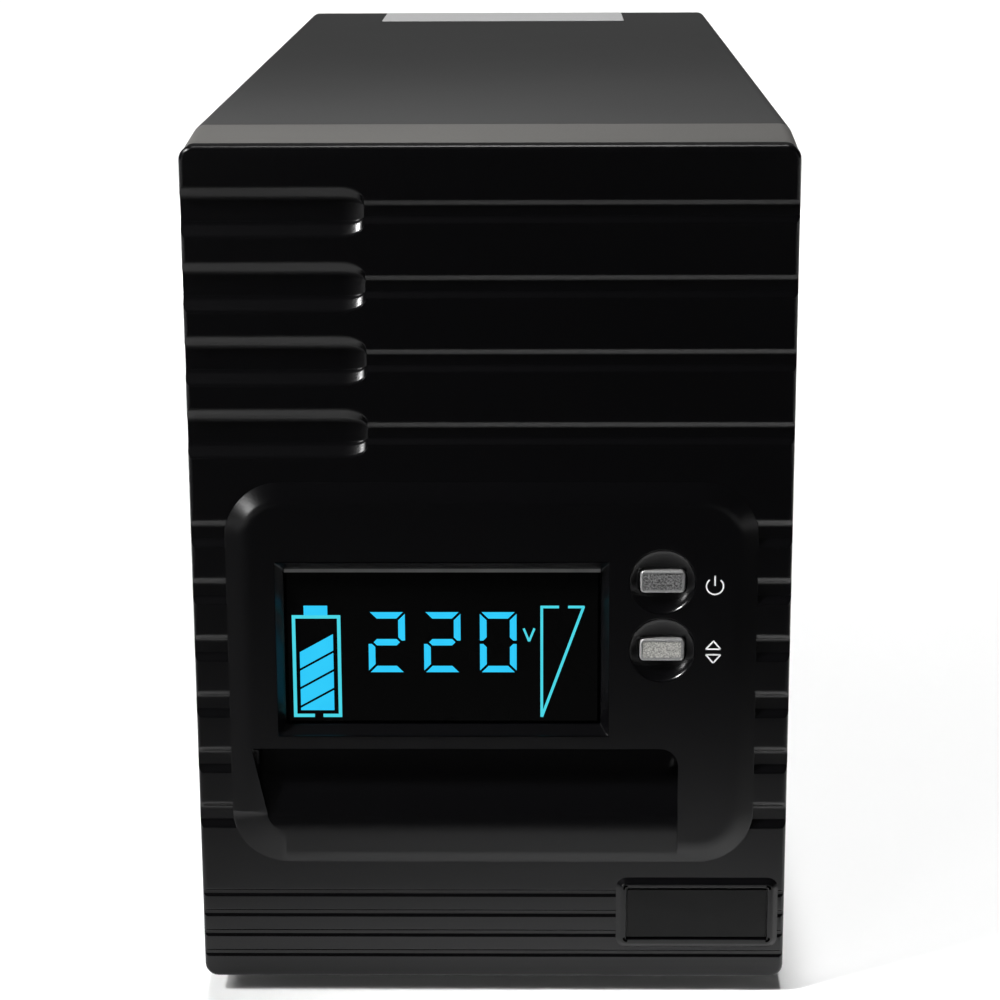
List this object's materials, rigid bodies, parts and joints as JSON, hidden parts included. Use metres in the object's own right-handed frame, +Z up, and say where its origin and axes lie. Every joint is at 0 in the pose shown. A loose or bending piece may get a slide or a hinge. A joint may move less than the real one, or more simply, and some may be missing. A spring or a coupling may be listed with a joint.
{
  "type": "uninterruptible power supply",
  "caption": "Tower backup power unit: deep steel case with a moulded black front that carries a display, push buttons and a finger scoop, with outlets, inlet and fan at the rear.",
  "frame": {"origin": "on the floor under the middle of the outline", "axes": "+Z up, front towards -Y, +X to the right seen from the front"},
  "size_m": [0.1432, 0.3802, 0.204],
  "materials": {
    "black_abs": "fine spark texture, half matt",
    "grey_abs": "spark texture",
    "button_plastic": "metallic paint",
    "window_acrylic": "clear, smoked",
    "display": "lit display",
    "badge": "bare, satin",
    "painted_steel": "satin powder coat",
    "plated_steel": "zinc plated",
    "screw_steel": "blackened",
    "foot_rubber": "matt",
    "foam": "foam",
    "battery_case": "plain",
    "terminal_metal": "tinned",
    "cable": "insulation",
    "cable_red": "insulation",
    "circuit_board": "solder mask",
    "component_black": "moulded",
    "capacitor_sleeve": "shrink sleeve",
    "heat_sink_metal": "extruded",
    "core_steel": "varnished laminations",
    "copper_winding": "taped winding",
    "fan_plastic": "moulded",
    "wire_chrome": "bright wire",
    "socket_plastic": "moulded",
    "port_metal": "plated",
    "post_brass": "turned"
  },
  "bodies": {
    "case": {"bezel_frame": "grey_abs", "top_cover": "painted_steel", "chassis": "painted_steel", "rubber_feet": "foot_rubber", "cover_screws": "screw_steel", "bezel_screws": "screw_steel", "battery_door": "painted_steel", "door_screws": "plated_steel", "battery_pad": "foam", "battery_left": "battery_case", "battery_right": "battery_case", "battery_terminals": "terminal_metal", "battery_link": "cable", "battery_leads": "cable_red", "battery_cage": "plated_steel", "main_board": "circuit_board", "board_standoffs": "post_brass", "board_screws": "plated_steel", "heat_sinks": "heat_sink_metal", "power_transistors": "component_black", "capacitors": "capacitor_sleeve", "relays": "component_black", "transformer_core": "core_steel", "transformer_coil": "copper_winding", "transformer_brackets": "plated_steel", "transformer_bolts": "plated_steel", "fan_frame": "fan_plastic", "fan_guard": "wire_chrome", "fan_screws": "screw_steel", "mains_inlet": "socket_plastic", "inlet_pins": "port_metal", "breaker_body": "socket_plastic", "breaker_nut": "plated_steel", "data_port": "port_metal", "network_ports": "socket_plastic", "port_board": "circuit_board", "port_posts": "post_brass", "port_screws": "screw_steel", "outlet_1": "socket_plastic", "outlet_2": "socket_plastic", "outlet_3": "socket_plastic", "outlet_4": "socket_plastic", "outlet_5": "socket_plastic", "outlet_6": "socket_plastic"},
    "front": {"front_cover": "black_abs", "badge_plate": "badge", "display_window": "window_acrylic", "display_module": "display", "display_board": "circuit_board", "display_board_screws": "plated_steel", "push_switches": "component_black"},
    "power_key": {"power_button": "button_plastic", "power_plunger": "component_black"},
    "select_key": {"select_button": "button_plastic", "select_plunger": "component_black"},
    "rotor": {"fan_rotor": "fan_plastic"},
    "reset_key": {"breaker_button": "socket_plastic"}
  },
  "joints": [
    {"name": "front_pull", "type": "slide", "parent": "case", "child": "front", "axis": [0, -1, 0], "range_m": [0, 0.04]},
    {"name": "power_press", "type": "slide", "parent": "front", "child": "power_key", "axis": [0, 1, 0], "range_m": [0, 0.0008], "stiffness_N_per_m": 1500, "springref_m": -0.0004},
    {"name": "select_press", "type": "slide", "parent": "front", "child": "select_key", "axis": [0, 1, 0], "range_m": [0, 0.0008], "stiffness_N_per_m": 1500, "springref_m": -0.0004},
    {"name": "fan_spin", "type": "hinge", "parent": "case", "child": "rotor", "pos_m": [0.022, 0.1708, 0.154], "axis": [0, 1, 0], "continuous": true},
    {"name": "reset_pop", "type": "slide", "parent": "case", "child": "reset_key", "axis": [0, 1, 0], "range_m": [0, 0.004]}
  ]
}
